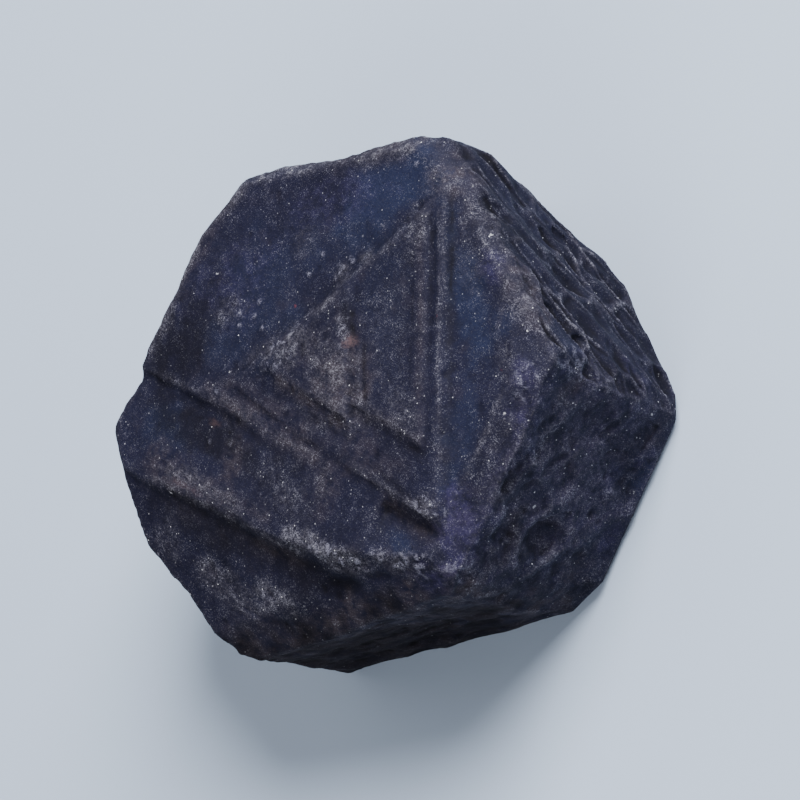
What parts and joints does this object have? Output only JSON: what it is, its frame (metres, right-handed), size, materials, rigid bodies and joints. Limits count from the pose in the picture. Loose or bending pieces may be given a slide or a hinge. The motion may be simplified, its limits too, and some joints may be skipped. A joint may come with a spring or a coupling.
{
  "type": "rough sapphire crystal",
  "caption": "Rough sapphire: a stubby hexagonal corundum crystal with raised triangles and ledges on its end face, scalloped sides and a flat back face to rest on.",
  "frame": {"origin": "centre of the crystal's width and depth, on its flat back face", "axes": "+Z along the crystal's short hexagonal axis, from the back face to the end face; +X along its longest extent"},
  "size_m": [0.0634, 0.0538, 0.026],
  "materials": {
    "sapphire": "satin"
  },
  "bodies": {
    "root": {"crystal": "sapphire"}
  },
  "joints": []
}
